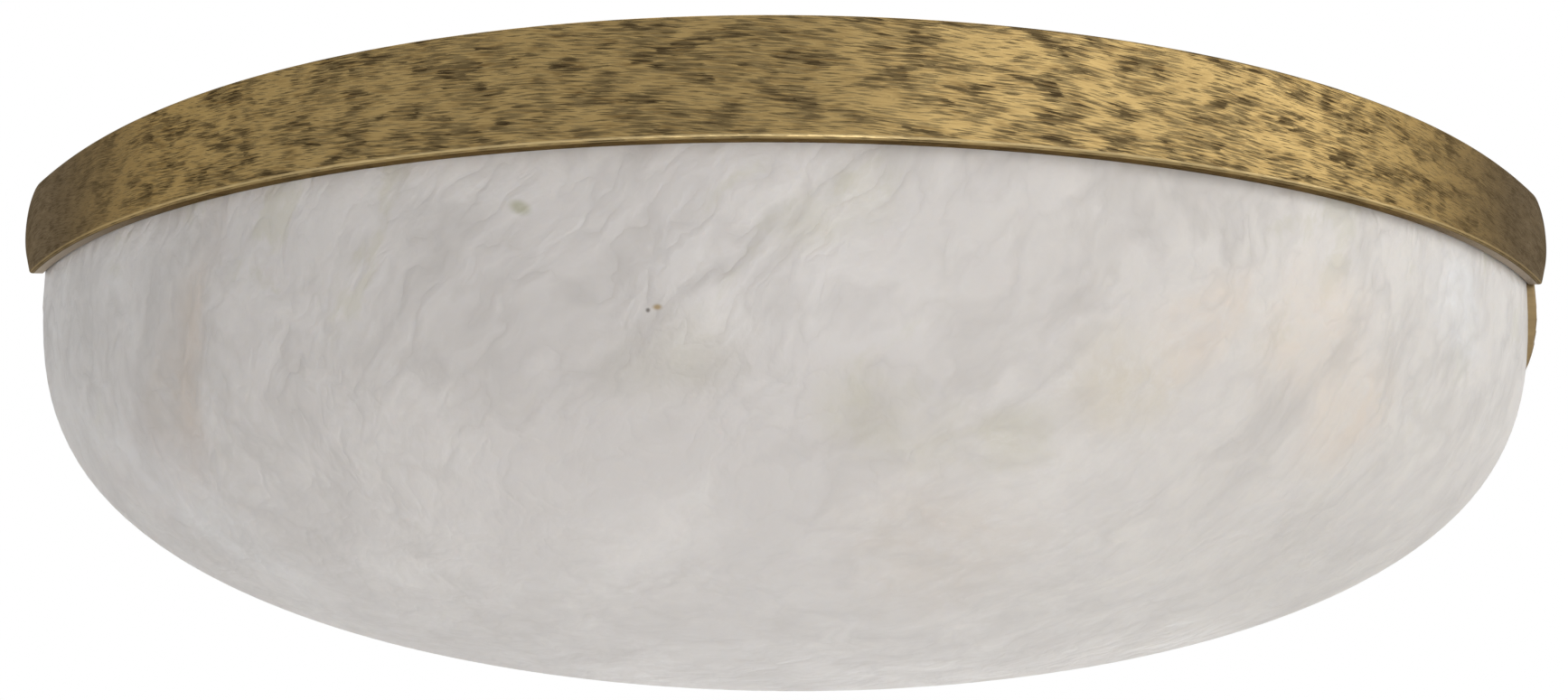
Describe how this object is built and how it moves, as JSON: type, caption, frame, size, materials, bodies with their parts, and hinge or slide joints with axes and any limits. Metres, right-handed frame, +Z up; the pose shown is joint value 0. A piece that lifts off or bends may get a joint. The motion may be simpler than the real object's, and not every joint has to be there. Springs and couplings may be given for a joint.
{
  "type": "wall light",
  "caption": "Low wall light: a half bowl of cloudy white alabaster, flat at the back and open at the top, hung in a lipped brass band that is chased all over with short gouges.",
  "frame": {"origin": "on the wall, at the centre between the two box screws, on the axis of the wiring box", "axes": "+Z up, +Y into the wall, -Y out of the wall towards the room, +X to the right as seen from the room"},
  "size_m": [0.4056, 0.127, 0.13],
  "materials": {
    "brass_textured": "antique burnished, chased with short gouges",
    "brass_plain": "antique, brushed",
    "alabaster": "honed, cloudy white",
    "steel": "zinc plated",
    "moulding_white": "moulded",
    "diffuser": "frosted",
    "phenolic": "moulded, dark",
    "bright_metal": "nickel plated",
    "rubber_black": "moulded",
    "silicone": "clear grey",
    "felt": "felt",
    "lead_live": "insulation",
    "lead_neutral": "insulation",
    "lead_earth": "insulation"
  },
  "bodies": {
    "mounting": {"wall_bracket": "steel", "bracket_studs": "steel", "back_plate": "brass_plain", "thumb_inserts": "brass_plain", "wire_grommet": "rubber_black", "lamp_bracket": "steel", "lamp_bracket_screws": "steel", "earth_screw": "steel", "terminal_block": "moulding_white", "terminal_screws": "bright_metal", "block_screw": "steel", "holder_nuts": "steel", "leads_live": "lead_live", "leads_neutral": "lead_neutral", "earth_lead": "lead_earth", "lampholder_left": "phenolic", "screw_shell_left": "brass_plain", "holder_contact_left": "bright_metal", "lampholder_right": "phenolic", "screw_shell_right": "brass_plain", "holder_contact_right": "bright_metal"},
    "shade": {"brass_band": "brass_textured", "rim_keeper": "brass_plain", "rim_pads": "silicone", "rear_pads": "felt", "alabaster_bowl": "alabaster", "band_tab_left": "brass_plain", "band_tab_right": "brass_plain"},
    "bulb_left": {"bulb_cap_left": "bright_metal", "bulb_collar_left": "moulding_white", "bulb_globe_left": "diffuser"},
    "thumb_left": {"thumb_screw_left": "brass_plain"},
    "nut_left": {"cap_nut_left": "brass_plain"},
    "bulb_right": {"bulb_cap_right": "bright_metal", "bulb_collar_right": "moulding_white", "bulb_globe_right": "diffuser"},
    "thumb_right": {"thumb_screw_right": "brass_plain"},
    "nut_right": {"cap_nut_right": "brass_plain"}
  },
  "joints": [
    {"name": "shade_off", "type": "slide", "parent": "mounting", "child": "shade", "axis": [0, -1, 0], "range_m": [0, 0.15]},
    {"name": "bulb_left_out", "type": "slide", "parent": "mounting", "child": "bulb_left", "axis": [-1, 0, 0], "range_m": [0, 0.014]},
    {"name": "thumb_left_turn", "type": "hinge", "parent": "shade", "child": "thumb_left", "pos_m": [-0.187, -0.0098, 0.0485], "axis": [0, 1, 0], "range_deg": [0, 1080]},
    {"name": "nut_left_turn", "type": "hinge", "parent": "mounting", "child": "nut_left", "pos_m": [-0.062, -0.0083, 0], "axis": [0, 1, 0], "range_deg": [0, 1440]},
    {"name": "bulb_right_out", "type": "slide", "parent": "mounting", "child": "bulb_right", "axis": [1, 0, 0], "range_m": [0, 0.014]},
    {"name": "thumb_right_turn", "type": "hinge", "parent": "shade", "child": "thumb_right", "pos_m": [0.187, -0.0098, 0.0485], "axis": [0, 1, 0], "range_deg": [0, 1080]},
    {"name": "nut_right_turn", "type": "hinge", "parent": "mounting", "child": "nut_right", "pos_m": [0.062, -0.0083, 0], "axis": [0, 1, 0], "range_deg": [0, 1440]}
  ]
}
